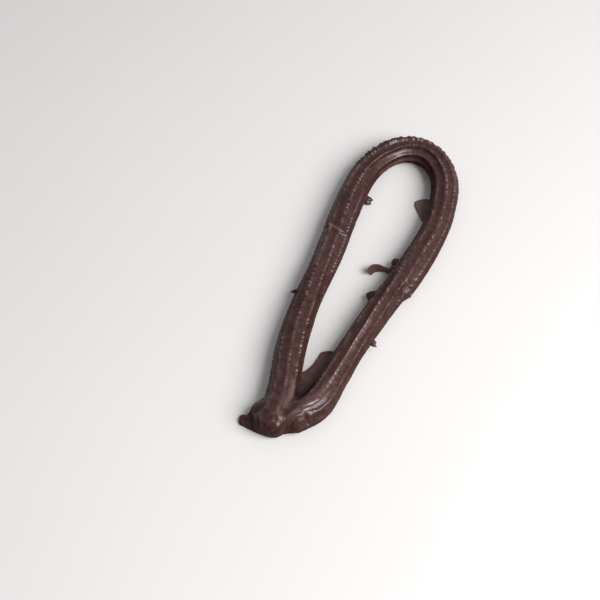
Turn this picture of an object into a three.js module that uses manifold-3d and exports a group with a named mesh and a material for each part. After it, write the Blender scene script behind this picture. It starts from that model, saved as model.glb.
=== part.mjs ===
// A chocolate-coated churro: one ridged strand of fried dough bent into a long
// loop, its two ends pressed together, lying flat. Millimetres, +Z up, the
// surface it rests on at Z = 0, the long axis along X and the round end at +X.

import * as THREE from 'three';
import { mergeVertices } from 'three/addons/utils/BufferGeometryUtils.js';
import Module from 'manifold-3d';

const wasm = await Module();
wasm.setup();

// ---------------------------------------------------------------- sizes

const RIDGE_COUNT = 9; // ridges left by the star nozzle
const RIDGE_HEIGHT = 1.15; // crest above the foot of a ridge
const RIDGE_FOOT_ANGLE = 10; // half width of a ridge at its foot, degrees
const TOOTH_STEP = 1.4; // spacing of the points along a crest
const TOOTH_RISE = 0.3; // highest a tooth stands above the mean crest
const TOOTH_DIP = 0.4; // deepest a gap between teeth is cut
const TOOTH_AT_BEND = 1.5; // how much stronger the teeth are round the bend
const AXIS_HEIGHT = 5.6; // middle line above the resting surface
const RING_STEP = 4.25; // spacing of the cross sections
const END_ROUND = 4.0; // length over which a strand end rounds off

// Stations of the strand's middle line, from the left end round the bend to the
// right end: place, radius over the crests, and turn of the ridges from the top
// towards the inside of the loop, in degrees.
const STATIONS = [
  { x: -91.5, y: 6.6, radius: 7.3, turn: 52 },
  { x: -75, y: 7.1, radius: 6.9, turn: 53 },
  { x: -46, y: 13.8, radius: 7.1, turn: 41 },
  { x: -24, y: 17, radius: 6.75, turn: 37 },
  { x: -10, y: 18, radius: 6.5, turn: 27 },
  { x: 10, y: 19, radius: 6.8, turn: 15 },
  { x: 34, y: 21.4, radius: 7.0, turn: 8 },
  { x: 58, y: 22.4, radius: 6.8, turn: 9 },
  { x: 69.5, y: 20.5, radius: 6.7, turn: 17 },
  { x: 79, y: 16.6, radius: 6.65, turn: 24 },
  { x: 85.2, y: 11.4, radius: 6.6, turn: 24 },
  { x: 88.2, y: 4.9, radius: 6.6, turn: 22 },
  { x: 87.8, y: -1.7, radius: 6.65, turn: 16 },
  { x: 84.4, y: -7.6, radius: 6.7, turn: 11 },
  { x: 77.5, y: -13.1, radius: 6.9, turn: 5 },
  { x: 68, y: -17.3, radius: 7.1, turn: -1 },
  { x: 45, y: -21.3, radius: 7.1, turn: -11 },
  { x: 22, y: -20.3, radius: 7.2, turn: -13 },
  { x: 5.5, y: -18, radius: 7.15, turn: -19 },
  { x: 1, y: -16.3, radius: 6.75, turn: -25 },
  { x: -38, y: -10.7, radius: 6.65, turn: -34 },
  { x: -56, y: -9.8, radius: 6.8, turn: -36 },
  { x: -69, y: -8.4, radius: 7.3, turn: -36 },
  { x: -84, y: 0.5, radius: 6.4, turn: -36 },
];

// Chocolate that ran down and set on the resting surface.
const POOL_HEIGHT = 2.6; // round the pressed ends
const FILM_HEIGHT = 1.3; // in the fork between the limbs
const FLAP_HEIGHT = 1.2; // beside the right limb, near the bend

// ------------------------------------------------------------ small tools

// Repeatable unevenness between 0 and 1 for a pair of numbers.
function uneven(a, b) {
  const s = Math.sin(a * 127.1 + b * 311.7) * 43758.5453;
  return s - Math.floor(s);
}

// A closed three.js geometry as a manifold solid.
function toSolid(geometry) {
  let bare = geometry.clone();
  bare.deleteAttribute('normal');
  bare.deleteAttribute('uv');
  bare = mergeVertices(bare);
  return new wasm.Manifold(new wasm.Mesh({
    numProp: 3,
    vertProperties: new Float32Array(bare.attributes.position.array),
    triVerts: new Uint32Array(bare.index.array),
  }));
}

// A manifold solid as a three.js geometry.
function toGeometry(solid) {
  const mesh = solid.getMesh();
  const geometry = new THREE.BufferGeometry();
  const flat = new Float32Array(mesh.vertProperties);
  geometry.setAttribute('position', new THREE.BufferAttribute(flat, 3));
  geometry.setIndex(new THREE.BufferAttribute(new Uint32Array(mesh.triVerts), 1));
  return geometry;
}

// -------------------------------------------------------- the middle line

const middleLine = new THREE.CatmullRomCurve3(
  STATIONS.map((s) => new THREE.Vector3(s.x, s.y, AXIS_HEIGHT)), false, 'centripetal');
middleLine.arcLengthDivisions = 1200;
const girth = new THREE.SplineCurve(
  STATIONS.map((s) => new THREE.Vector2(s.radius, s.turn)));
const LINE_LENGTH = middleLine.getLength();

// The strand at a distance along its middle line: centre, direction towards the
// inside of the loop, crest radius, rounding of the ends and turn of the ridges.
function strandAt(distance) {
  const t = middleLine.getUtoTmapping(0, distance);
  const tangent = middleLine.getTangent(t);
  const { x: radius, y: turn } = girth.getPoint(t);
  const fromEnd = Math.min(distance, LINE_LENGTH - distance);
  const ease = 1 - Math.min(fromEnd / END_ROUND, 1);
  return {
    centre: middleLine.getPoint(t),
    inward: new THREE.Vector3(tangent.y, -tangent.x, 0),
    radius,
    round: Math.sqrt(1 - ease * ease),
    turn,
  };
}

// A point on the strand's skin, pressed flat where it meets the surface.
function skinPoint(at, degreesFromTop, radius) {
  const angle = THREE.MathUtils.degToRad(degreesFromTop + at.turn);
  const reach = radius * at.round;
  const point = at.centre.clone().addScaledVector(at.inward, reach * Math.sin(angle));
  point.z = Math.max(point.z + reach * Math.cos(angle), 0);
  return point;
}

// ------------------------------------------------------------ the strand

// Height of a crest point above or below the mean crest: blunt teeth of uneven
// height, as a star nozzle leaves them, stronger round the bend and smoothed away
// on the underside.
function toothHeight(step, ridge, at, degreesFromTop) {
  const share = uneven(step, ridge);
  const bend = THREE.MathUtils.smoothstep(at.centre.x, 40, 80);
  const facing = Math.cos(THREE.MathUtils.degToRad(degreesFromTop + at.turn));
  const strength = THREE.MathUtils.lerp(0.7, TOOTH_AT_BEND, bend)
    * THREE.MathUtils.smoothstep(facing, -0.6, -0.2);
  return strength * (step % 2 === 0 ? TOOTH_RISE * (0.2 + 0.8 * share) : -TOOTH_DIP * share);
}

// A closed length of strand between two distances along the middle line, with
// serrated crests, plain ridge feet and flat facets between the ridges.
function strandPiece(distances, toothOffset) {
  const positions = [];
  const faces = [];
  const add = (p) => positions.push(p.x, p.y, p.z) / 3 - 1;
  const finer = Math.round(RING_STEP / TOOTH_STEP);
  const rings = distances.map(strandAt);
  const fine = [];
  distances.forEach((d, i) => {
    if (i === distances.length - 1) {
      fine.push(d);
      return;
    }
    for (let k = 0; k < finer; k++) {
      fine.push(d + ((distances[i + 1] - d) * k) / finer);
    }
  });
  const crestStations = fine.map(strandAt);
  const crests = [];
  const nearFeet = [];
  const farFeet = [];
  for (let ridge = 0; ridge < RIDGE_COUNT; ridge++) {
    const angle = (360 / RIDGE_COUNT) * (ridge + 0.2 * (uneven(ridge, 7) - 0.5));
    const height = RIDGE_HEIGHT * (0.85 + 0.3 * uneven(ridge, 3));
    crests.push(crestStations.map((at, i) => {
      const atCap = i === 0 || i === fine.length - 1;
      const tooth = atCap ? 0 : toothHeight(i + toothOffset, ridge, at, angle);
      return add(skinPoint(at, angle, at.radius + tooth));
    }));
    nearFeet.push(rings.map((at) => add(
      skinPoint(at, angle - RIDGE_FOOT_ANGLE, at.radius - height))));
    farFeet.push(rings.map((at) => add(
      skinPoint(at, angle + RIDGE_FOOT_ANGLE, at.radius - height))));
  }
  for (let ridge = 0; ridge < RIDGE_COUNT; ridge++) {
    zip(faces, nearFeet[ridge], crests[ridge]);
    zip(faces, crests[ridge], farFeet[ridge]);
    zip(faces, farFeet[ridge], nearFeet[(ridge + 1) % RIDGE_COUNT]);
  }
  closeEnd(faces, add(rings[0].centre), outline(nearFeet, crests, farFeet, false), true);
  closeEnd(faces, add(rings.at(-1).centre), outline(nearFeet, crests, farFeet, true), false);
  const geometry = new THREE.BufferGeometry();
  geometry.setAttribute('position', new THREE.Float32BufferAttribute(positions, 3));
  geometry.setIndex(faces);
  return geometry;
}

// Triangles between two lines of points that run along the strand.
function zip(faces, lower, upper) {
  let i = 0;
  let j = 0;
  const last = lower.length - 1;
  const far = upper.length - 1;
  while (i < last || j < far) {
    const stepLower = j === far || (i < last && (i + 0.5) / last <= (j + 0.5) / far);
    faces.push(lower[i], upper[j], stepLower ? lower[i + 1] : upper[j + 1]);
    if (stepLower) i++;
    else j++;
  }
}

// The points of the first or last cross section, in order round it.
function outline(nearFeet, crests, farFeet, atEnd) {
  const pick = (line) => line.at(atEnd ? -1 : 0);
  return crests.flatMap((crest, k) => [pick(nearFeet[k]), pick(crest), pick(farFeet[k])]);
}

// A fan that closes a cross section round its centre.
function closeEnd(faces, centre, ring, atStart) {
  ring.forEach((a, k) => {
    const b = ring[(k + 1) % ring.length];
    faces.push(centre, atStart ? b : a, atStart ? a : b);
  });
}

// Distances of the cross sections from a rounded end to mid length: close together
// where the end rounds off, evenly spaced from there on.
function ringDistances(reach) {
  const list = [0.04, 0.35, 1].map((share) => share * END_ROUND);
  const count = Math.round((reach - END_ROUND) / RING_STEP);
  for (let i = 1; i <= count; i++) {
    list.push(END_ROUND + ((reach - END_ROUND) * i) / count);
  }
  return list;
}

// The strand in two halves that share the cross section at mid length.
function buildStrand() {
  const half = LINE_LENGTH / 2;
  const distances = ringDistances(half);
  const mirrored = distances.map((d) => LINE_LENGTH - d).reverse();
  mirrored[0] = half;
  return toSolid(strandPiece(distances, 0)).add(toSolid(strandPiece(mirrored, 400)));
}

// ------------------------------------------------- set chocolate and lumps

// A flat-bottomed patch of set chocolate with a rounded rim, from its corners.
function patch(corners, height, rim) {
  const edge = new THREE.SplineCurve(
    [...corners, corners[0]].map(([x, y]) => new THREE.Vector2(x, y)));
  const shape = new THREE.Shape(edge.getPoints(corners.length * 2).slice(0, -1));
  const slab = new THREE.ExtrudeGeometry(shape, {
    depth: 0.4,
    bevelEnabled: true,
    bevelThickness: height - 0.4,
    bevelSize: rim,
    bevelOffset: -rim,
    bevelSegments: 2,
  });
  return toSolid(slab);
}

// A rounded lump stuck to the coat, with its three widths.
function lump(x, y, z, sizeX, sizeY, sizeZ) {
  const ball = new THREE.SphereGeometry(0.5, 10, 6);
  ball.scale(sizeX, sizeY, sizeZ);
  ball.translate(x, y, z);
  return toSolid(ball);
}

// A short tapering nib that points along a heading in the plane, in degrees.
function nib(x, y, z, heading, length, width, height) {
  const cone = new THREE.CylinderGeometry(0.24, 0.5, 1, 8);
  cone.rotateZ(-Math.PI / 2);
  cone.scale(length, width, height);
  cone.rotateZ(THREE.MathUtils.degToRad(heading));
  cone.translate(x, y, z);
  return toSolid(cone);
}

// A thin wall of chocolate that stands on the surface and follows a bent line.
function curl(points, thickness, height) {
  const line = new THREE.SplineCurve(points.map(([x, y]) => new THREE.Vector2(x, y)));
  const steps = 14;
  const sides = [1, -1].map((side) => {
    const list = [];
    for (let i = 0; i <= steps; i++) {
      const along = line.getTangent(i / steps);
      const across = new THREE.Vector2(-along.y, along.x);
      const thin = 1 - 0.45 * (i / steps);
      list.push(line.getPoint(i / steps).addScaledVector(across, (side * thin * thickness) / 2));
    }
    return list;
  });
  const shape = new THREE.Shape([...sides[0], ...sides[1].reverse()]);
  return toSolid(new THREE.ExtrudeGeometry(shape, { depth: height, bevelEnabled: false }));
}

// A raised edge of the coat that runs across the top of the strand.
function coatRib(distance, fromAngle, toAngle, thickness) {
  const at = strandAt(distance);
  const reach = at.radius - 0.45 * RIDGE_HEIGHT - thickness * 0.2;
  const points = [];
  for (let k = 0; k <= 6; k++) {
    const angle = THREE.MathUtils.degToRad(fromAngle + ((toAngle - fromAngle) * k) / 6);
    points.push(at.centre.clone()
      .addScaledVector(at.inward, reach * Math.sin(angle))
      .add(new THREE.Vector3(0, 0, reach * Math.cos(angle))));
  }
  const round = new THREE.Shape().absarc(0, 0, thickness / 2, 0, Math.PI * 2);
  return toSolid(new THREE.ExtrudeGeometry(round, {
    curveSegments: 4,
    steps: 9,
    bevelEnabled: false,
    extrudePath: new THREE.CatmullRomCurve3(points),
  }));
}

// The two ends pressed into one, with the pool of chocolate they stand in.
function buildPressedEnds() {
  return [
    patch([[-70, 12], [-76.4, 16.4], [-82, 17.6], [-86.5, 17.6], [-90, 16.4],
      [-90.6, 12], [-90.6, 7.5], [-89, 3.2], [-86.4, 0], [-81.5, -6.5], [-72, -9],
      [-66, 2]], POOL_HEIGHT, 0.6),
    lump(-78.5, 0.2, 5.6, 17, 10, 12.2),
    lump(-82.3, 8.6, 2.6, 16.4, 17.4, 17),
    lump(-85.5, 6.5, 3.5, 11, 15, 13),
    lump(-70.5, 0.4, 3, 17, 9.5, 8),
    lump(-88, 17.6, 1, 4.4, 5, 3.6),
    lump(-86.6, 18.6, 1, 4.4, 4, 3.2),
    lump(-86.4, 4.8, 11, 3, 2.6, 2.2),
    lump(-83.2, 2.8, 10.6, 3.2, 2.8, 2.2),
  ];
}

// The thin film in the fork between the limbs and the flap near the bend.
function buildFilms() {
  return [
    patch([[-56, 10], [-54, 5.6], [-49.5, 3], [-44, 1.9], [-40.5, 1.6], [-37.6, -2.6],
      [-37, -10.5], [-60, -10], [-72, 0], [-68, 8.5]], FILM_HEIGHT, 0.6),
    patch([[60.5, -5.8], [55.5, -9.5], [50.5, -14], [52, -20], [62, -18], [65, -11]],
      FLAP_HEIGHT, 0.7),
  ];
}

// What stands out of the limbs: a curl, nibs and drips, and one raised coat edge.
function buildTrim() {
  return [
    curl([[14.4, -13], [14.7, -7.4], [14.4, -4.4], [12.5, -2], [9.6, -1.2], [8.3, -2.5]],
      1.3, 5),
    lump(19.3, -11.8, 4, 4.2, 4.6, 4.4),
    nib(-3.6, -8.4, 3.6, 80, 5.4, 3, 3.2),
    nib(-17.2, 24.6, 5, 125, 4.6, 1.9, 2),
    nib(-28.8, -18.6, 5.4, -112, 3.8, 2.4, 1.5),
    nib(50.8, 16, 3, -95, 7.6, 4.6, 4.4),
    coatRib(middleLineDistance(19), -42, 48, 1.7),
  ];
}

// Distance along the middle line at which the left limb reaches a given X.
function middleLineDistance(x) {
  let distance = 0;
  while (strandAt(distance).centre.x < x) distance += 0.25;
  return distance;
}

// --------------------------------------------------------------- the part

// Everything fused into one body; sealed pockets are filled and scraps dropped.
function buildChurro() {
  const pieces = [buildStrand(), ...buildPressedEnds(), ...buildFilms(), ...buildTrim()];
  const below = new THREE.BoxGeometry(400, 400, 20);
  below.translate(0, 0, -10);
  const fused = pieces.reduce((whole, piece) => whole.add(piece)).subtract(toSolid(below));
  const shells = fused.decompose().sort((a, b) => b.volume() - a.volume());
  const geometry = toGeometry(shells[0]);
  geometry.computeBoundingBox();
  const { min, max } = geometry.boundingBox;
  geometry.translate(-(min.x + max.x) / 2, -(min.y + max.y) / 2, -min.z);
  geometry.computeVertexNormals();
  return geometry;
}

const chocolate = new THREE.MeshStandardMaterial({
  color: new THREE.Color(0.055, 0.032, 0.027),
  roughness: 0.38,
  metalness: 0,
});
chocolate.name = 'chocolate';

const churro = new THREE.Mesh(buildChurro(), chocolate);
churro.name = 'churro';

const part = new THREE.Group();
part.name = 'chocolate_churro';
part.add(churro);

export default part;
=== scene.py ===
"""A chocolate-coated churro: one ridged strand of fried dough, piped through a star
nozzle, bent into a long loop with its two ends pressed together, and dipped in dark
chocolate. Small drips, a curl and a thin film of chocolate have set beside it."""

import math

import bmesh
import bpy
import numpy as np
from bpy.props import FloatProperty, FloatVectorProperty, IntProperty, PointerProperty
from mathutils import Matrix, Vector, noise
from mathutils.kdtree import KDTree


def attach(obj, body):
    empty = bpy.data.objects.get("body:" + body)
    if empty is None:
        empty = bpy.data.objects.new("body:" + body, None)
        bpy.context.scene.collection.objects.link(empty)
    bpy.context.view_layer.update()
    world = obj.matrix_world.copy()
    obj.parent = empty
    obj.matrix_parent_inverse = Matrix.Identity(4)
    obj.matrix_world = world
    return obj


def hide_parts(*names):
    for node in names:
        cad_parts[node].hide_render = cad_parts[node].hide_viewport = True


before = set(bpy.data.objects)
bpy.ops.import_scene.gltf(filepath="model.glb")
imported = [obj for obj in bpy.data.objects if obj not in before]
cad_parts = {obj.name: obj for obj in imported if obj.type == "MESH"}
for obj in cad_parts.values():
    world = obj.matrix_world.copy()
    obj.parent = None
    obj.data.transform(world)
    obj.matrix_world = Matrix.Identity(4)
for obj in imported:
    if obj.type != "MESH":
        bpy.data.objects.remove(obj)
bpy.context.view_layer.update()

bl_info = {
    "name": "Chocolate churro",
    "version": (1, 0, 0),
    "blender": (4, 5, 0),
    "location": "3D View > Sidebar > Churro",
    "description": "Builds a chocolate-coated churro loop and the chocolate set beside it",
    "category": "Object",
}

NODE = "churro"
MM = 0.001

# ------------------------------------------------------------------ the strand's path

# The tables and the path maths are in millimetres. Settings and node trees are in
# metres.

# Stations of the middle line from the left end round the bend to the right end:
# x, y, radius over the crests, and turn of the ridges in degrees from the top towards
# the inside of the loop.
STATIONS = (
    (-91.5, 6.6, 7.3, 52),
    (-75, 7.1, 6.9, 53),
    (-46, 13.8, 7.1, 41),
    (-24, 17, 6.75, 37),
    (-10, 18, 6.5, 27),
    (10, 19, 6.8, 15),
    (34, 21.4, 7.0, 8),
    (58, 22.4, 6.8, 9),
    (69.5, 20.5, 6.7, 17),
    (79, 16.6, 6.65, 24),
    (85.2, 11.4, 6.6, 24),
    (88.2, 4.9, 6.6, 22),
    (87.8, -1.7, 6.65, 16),
    (84.4, -7.6, 6.7, 11),
    (77.7, -13.5, 6.85, 5),
    (68, -17.8, 7.0, -1),
    (45, -21.5, 6.85, -11),
    (22, -20.3, 7.2, -13),
    (5.5, -18, 7.15, -19),
    (1, -16.5, 6.6, -28),
    (-38, -11.2, 6.2, -44),
    (-56, -10, 6.6, -44),
    (-69, -8.4, 7.3, -42),
    (-84, 0.5, 6.4, -40),
)
PLAN_CENTRE = (1.82, 0.324)  # the stations' origin is this far from the part's
END_ROUND = 4.0  # length over which a strand end rounds off
END_GAP = 0.05  # first cross section from the very end
END_SECTIONS = (0.25, 0.6, 1.1, 1.7)  # extra cross sections where an end rounds off
LINE_SAMPLES = 12001  # places at which the middle line's length is measured
NUDGE = 1e-4  # share of the line on each side of a place that gives its direction

# Relief along the strand, as a share of its full size on the limbs and what the bend
# adds to it.
BEND_RANGE = (35, 75)  # x over which a limb passes into the bend
BEADS_ALONG = (0.75, 0.25)
TEETH_ALONG = (0.2, 0.8)
DEPTH_ALONG = (0.62, 0.48)

# Distances from an end between which the beads have run together or stand apart.
MERGED_LEFT = (24, 32)
MERGED_RIGHT = (82, 66)

# ------------------------------------------------------------------------ node trees


def math_method(operation, turned=False):
    """A method that adds a Math node for a value and what it is combined with."""

    def method(self, *others):
        node = self.tree.nodes.new("ShaderNodeMath")
        node.operation = operation
        values = (self, *others)
        for socket, value in zip(node.inputs, values[::-1] if turned else values):
            connect(self.tree, value, socket)
        return Value(self.tree, node.outputs[0])

    return method


class Value:
    """A number in a node tree that takes part in ordinary arithmetic."""

    def __init__(self, tree, socket):
        self.tree = tree
        self.socket = socket

    __add__ = math_method("ADD")
    __radd__ = math_method("ADD", turned=True)
    __sub__ = math_method("SUBTRACT")
    __rsub__ = math_method("SUBTRACT", turned=True)
    __mul__ = math_method("MULTIPLY")
    __rmul__ = math_method("MULTIPLY", turned=True)
    __truediv__ = math_method("DIVIDE")
    __rtruediv__ = math_method("DIVIDE", turned=True)
    __pow__ = math_method("POWER")
    __mod__ = math_method("FLOORED_MODULO")
    __abs__ = math_method("ABSOLUTE")
    at_most = math_method("MINIMUM")
    at_least = math_method("MAXIMUM")
    floor = math_method("FLOOR")
    sine = math_method("SINE")
    cosine = math_method("COSINE")
    sign = math_method("SIGN")

    def __neg__(self):
        return self * -1

    def smooth(self, low, high):
        """0 below low, 1 above high, and a smooth step between."""
        node = self.tree.nodes.new("ShaderNodeMapRange")
        node.interpolation_type = "SMOOTHSTEP"
        connect(self.tree, self, node.inputs["Value"])
        connect(self.tree, low, node.inputs["From Min"])
        connect(self.tree, high, node.inputs["From Max"])
        return Value(self.tree, node.outputs["Result"])


def connect(tree, value, socket):
    """Feeds a socket from a value, another socket or a plain constant."""
    if isinstance(value, Value):
        tree.links.new(value.socket, socket)
    elif isinstance(value, bpy.types.NodeSocket):
        tree.links.new(value, socket)
    else:
        socket.default_value = value


def add_node(tree, kind, inputs=None, **settings):
    """A new node with its settings and its inputs, by name."""
    node = tree.nodes.new(kind)
    for name, value in settings.items():
        setattr(node, name, value)
    for name, value in (inputs or {}).items():
        connect(tree, value, node.inputs[name])
    return node


def vector(tree, x=0.0, y=0.0, z=0.0):
    return add_node(tree, "ShaderNodeCombineXYZ", {"X": x, "Y": y, "Z": z}).outputs[0]


def vector_sum(tree, first, second):
    inputs = {0: first, 1: second}
    return add_node(tree, "ShaderNodeVectorMath", inputs, operation="ADD").outputs[0]


def scaled(tree, direction, length):
    inputs = {0: direction, "Scale": length}
    return add_node(tree, "ShaderNodeVectorMath", inputs, operation="SCALE").outputs[0]


def noise_value(tree, position, scale=1.0, detail=0.0, roughness=0.5):
    """Noise between -1 and 1 at a position."""
    node = add_node(
        tree,
        "ShaderNodeTexNoise",
        {"Vector": position, "Scale": scale, "Detail": detail, "Roughness": roughness},
    )
    return Value(tree, node.outputs[0]) * 2 - 1


def add_socket(tree, name, kind, in_out="INPUT"):
    tree.interface.new_socket(name, in_out=in_out, socket_type=kind)


# --------------------------------------------------------------------- the path maths


def centripetal(points, share):
    """A centripetal Catmull-Rom line through points, at shares from 0 to 1."""
    points = np.asarray(points, float)
    last = len(points) - 1
    place = np.clip(share, 0, 1) * last
    index = np.minimum(place.astype(int), last - 1)
    weight = (place - index)[:, None]
    before = np.vstack([2 * points[0] - points[1], points[:-1]])
    after = np.vstack([points[1:], 2 * points[-1] - points[-2]])
    p0, p1, p2, p3 = before[index], points[index], points[index + 1], after[index + 1]

    def gap(a, b):
        return np.sqrt(np.linalg.norm(b - a, axis=1))[:, None]

    d0, d1, d2 = gap(p0, p1), gap(p1, p2), gap(p2, p3)
    t1 = ((p1 - p0) / d0 - (p2 - p0) / (d0 + d1) + (p2 - p1) / d1) * d1
    t2 = ((p2 - p1) / d1 - (p3 - p1) / (d1 + d2) + (p3 - p2) / d2) * d1
    c2 = 3 * (p2 - p1) - 2 * t1 - t2
    c3 = 2 * (p1 - p2) + t1 + t2
    return ((c3 * weight + c2) * weight + t1) * weight + p1


def uniform(values, share):
    """A uniform Catmull-Rom line through values, at shares from 0 to 1."""
    values = np.asarray(values, float)
    last = len(values) - 1
    place = np.clip(share, 0, 1) * last
    index = np.minimum(place.astype(int), last - 1)
    weight = place - index
    p0 = values[np.maximum(index - 1, 0)]
    p1 = values[index]
    p2 = values[index + 1]
    p3 = values[np.minimum(index + 2, last)]
    v0, v1 = (p2 - p0) / 2, (p3 - p1) / 2
    c3 = 2 * p1 - 2 * p2 + v0 + v1
    c2 = 3 * p2 - 3 * p1 - 2 * v0 - v1
    return ((c3 * weight + c2) * weight + v0) * weight + p1


def smoothstep(x, low, high):
    t = np.clip((np.asarray(x, float) - low) / (high - low), 0, 1)
    return t * t * (3 - 2 * t)


class Path:
    """The strand's middle line in even steps, in the part's frame."""

    def __init__(self, settings):
        # Rounding takes off the last digits that a single precision setting adds.
        height = round(settings.axis_height / MM, 6)
        table = np.array(STATIONS, float)
        plan = table[:, :2] - np.array(PLAN_CENTRE)
        share = np.linspace(0, 1, LINE_SAMPLES)
        gaps = np.linalg.norm(np.diff(centripetal(plan, share), axis=0), axis=1)
        length = np.concatenate([[0], np.cumsum(gaps)])
        self.length = length[-1]
        count = int(self.length / (settings.step / MM))
        inner = np.linspace(END_GAP, self.length - END_GAP, count)
        tips = np.array(END_SECTIONS)
        self.along = np.unique(np.concatenate([inner, tips, self.length - tips]))
        t = np.interp(self.along, length, share)
        self.point = np.column_stack([centripetal(plan, t), np.full(len(t), height)])
        ahead = centripetal(plan, t + NUDGE) - centripetal(plan, t - NUDGE)
        ahead /= np.linalg.norm(ahead, axis=1)[:, None]
        self.inward = np.column_stack([ahead[:, 1], -ahead[:, 0], np.zeros(len(t))])
        self.girth = uniform(table[:, 2], t)
        self.turn = np.radians(uniform(table[:, 3], t))
        from_end = np.minimum(self.along, self.length - self.along)
        ease = 1 - np.minimum(from_end / END_ROUND, 1)
        self.round = np.sqrt(1 - ease**2)

    def nearest(self, points):
        """The point of the middle line that is nearest to each point."""
        tree = KDTree(len(self.point))
        for i, p in enumerate(self.point):
            tree.insert(p, i)
        tree.balance()
        return self.point[[tree.find(p)[1] for p in points]]


# ------------------------------------------------------------------------ mesh helpers

# Fractal noise of the coat's lumps: falloff, growth in detail and number of layers.
FRACTAL = (1.0, 2.0, 3)
SEED_SHIFT = (7.1, 3.7, 5.3)  # how far apart in the noise two seeds lie
OUTLINE_STEPS = 8  # points of an outline for each of its corners


def link(thing):
    """Adds an object to the scene."""
    bpy.context.scene.collection.objects.link(thing)
    return thing


def new_piece(name, mesh):
    return link(bpy.data.objects.new(name, mesh))


def drop(*helpers):
    """Removes helper objects and their meshes."""
    for helper in helpers:
        mesh = helper.data
        bpy.data.objects.remove(helper)
        bpy.data.meshes.remove(mesh)


def baked(piece, name):
    """A plain mesh of a piece as its modifiers leave it."""
    bpy.context.view_layer.update()
    depsgraph = bpy.context.evaluated_depsgraph_get()
    mesh = bpy.data.meshes.new_from_object(
        piece.evaluated_get(depsgraph), preserve_all_data_layers=True, depsgraph=depsgraph
    )
    if not mesh.polygons:
        raise RuntimeError(f"{name} came out with no faces")
    mesh.name = name
    return mesh


def mesh_of(form, name):
    """A mesh of a bmesh, which is used up."""
    mesh = bpy.data.meshes.new(name)
    form.to_mesh(mesh)
    form.free()
    return mesh


def vertices(mesh):
    flat = np.empty(len(mesh.vertices) * 3, np.float32)
    mesh.vertices.foreach_get("co", flat)
    return flat.reshape(-1, 3).astype(float)


def set_vertices(mesh, points):
    mesh.vertices.foreach_set("co", points.astype(np.float32).ravel())
    mesh.update()


def normals(mesh):
    flat = np.empty(len(mesh.vertices) * 3, np.float32)
    mesh.vertex_normals.foreach_get("vector", flat)
    return flat.reshape(-1, 3).astype(float)


def edges(mesh):
    flat = np.empty(len(mesh.edges) * 2, np.int32)
    mesh.edges.foreach_get("vertices", flat)
    return flat.reshape(-1, 2)


def neighbour_mean(values, pairs):
    """Mean of a value over each vertex's neighbours."""
    total = np.zeros(values.shape)
    np.add.at(total, pairs[:, 0], values[pairs[:, 1]])
    np.add.at(total, pairs[:, 1], values[pairs[:, 0]])
    number = np.bincount(pairs.ravel(), minlength=len(values))[:, None]
    return total / np.maximum(number, 1)


def store(mesh, name, values):
    layer = mesh.attributes.new(name, "FLOAT", "POINT")
    layer.data.foreach_set("value", np.asarray(values, np.float32))


def lift(points):
    """Lifts points that are below the resting surface onto it."""
    points[:, 2] = np.maximum(points[:, 2], 0)


def make_lumpy(mesh, relief, grain, seed):
    """Gives a mesh in millimetres an uneven skin, and scales it to metres."""
    points = vertices(mesh)
    mesh.update()
    shift = Vector([seed * step for step in SEED_SHIFT])
    uneven = [noise.fractal(Vector(p) / grain + shift, *FRACTAL) for p in points]
    points += normals(mesh) * (relief * np.array(uneven))[:, None]
    lift(points)
    set_vertices(mesh, points * MM)


def outline_points(corners):
    """A closed smooth outline through corners, in the part's frame."""
    ring = [corners[-1], *corners, corners[0], corners[1]]
    edge = 1 / (len(ring) - 1)
    count = len(corners) * OUTLINE_STEPS
    share = np.linspace(edge, 1 - edge - 1e-9, count + 1)[:-1]
    return centripetal(ring, share) - np.array(PLAN_CENTRE)


# ------------------------------------------------------------------------- the strand

STRAND_INPUTS = (
    ("Ridges", "NodeSocketInt", "ridges"),
    ("Points per Ridge", "NodeSocketInt", "points_per_ridge"),
    ("Axis Height", "NodeSocketFloat", "axis_height"),
    ("Ridge Height", "NodeSocketFloat", "ridge_height"),
    ("Crest Sharpness", "NodeSocketFloat", "crest_sharpness"),
    ("Bead Spacing", "NodeSocketFloat", "bead_spacing"),
    ("Bead Height", "NodeSocketFloat", "bead_height"),
    ("Tooth Height", "NodeSocketFloat", "tooth_height"),
    ("Unevenness", "NodeSocketFloat", "unevenness"),
    ("Seed", "NodeSocketInt", "seed"),
)

# How far apart in the noise two seeds, two ridges and the beads of two ridges lie.
SEED_STEP, RIDGE_STEP, BEAD_STEP = 13.7, 5.31, 17.7

# Noises along each ridge: the length in metres over which they change, and a shift
# that sets each apart.
WANDER_NOISE = (0.022, 3.0)
DEPTH_NOISE = (0.03, 11.0)
BEAD_NOISE = (0.004, 23.0)
TOOTH_NOISE = (0.006, 31.0)
MERGE_NOISE = (0.016, 41.0)

# Noises of the coat's skin: the length in metres along the strand over which they
# change, changes for each radian round it, shift and detail.
STRIAE_NOISE = (0.0011, 1.1, 4.0, 1.0)
FOLD_NOISE = (0.0035, 0.5, 9.0, 1.0)
LUMP_NOISE = (0.011, 0.75, 0.0, 2.0)
STRIAE_SHARE, FOLD_SHARE = 0.6, 0.5  # of the lumps' height
STRIAE_ALL, STRIAE_OUTER = 0.6, 0.8  # striae everywhere, and more on the outer side

# Sides of the strand: cosine or sine of the angle from the top between which a side
# begins and is full.
UPPER_SIDE, INNER_SIDE, OUTER_SIDE = (0.0, 0.7), (0.1, 0.6), (-0.2, 0.7)

# Across a ridge, from 0 on its crest to 1 at its foot.
GATHER = 1.5  # above 1, the mesh points gather towards the crest
WANDER = 0.09  # most that a crest wanders sideways, as a share of a ridge
CREST_SHARE, LINE_SHARE = 0.6, 0.4  # sharp crest and soft line in the ridge's height
LINE_FALL, KNOB_FALL, TOOTH_FALL = (0.05, 0.7), (0.02, 0.5), (0.0, 0.9)
DEPTH_CHANGE = 0.35  # most that a ridge grows or sinks along the strand

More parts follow.
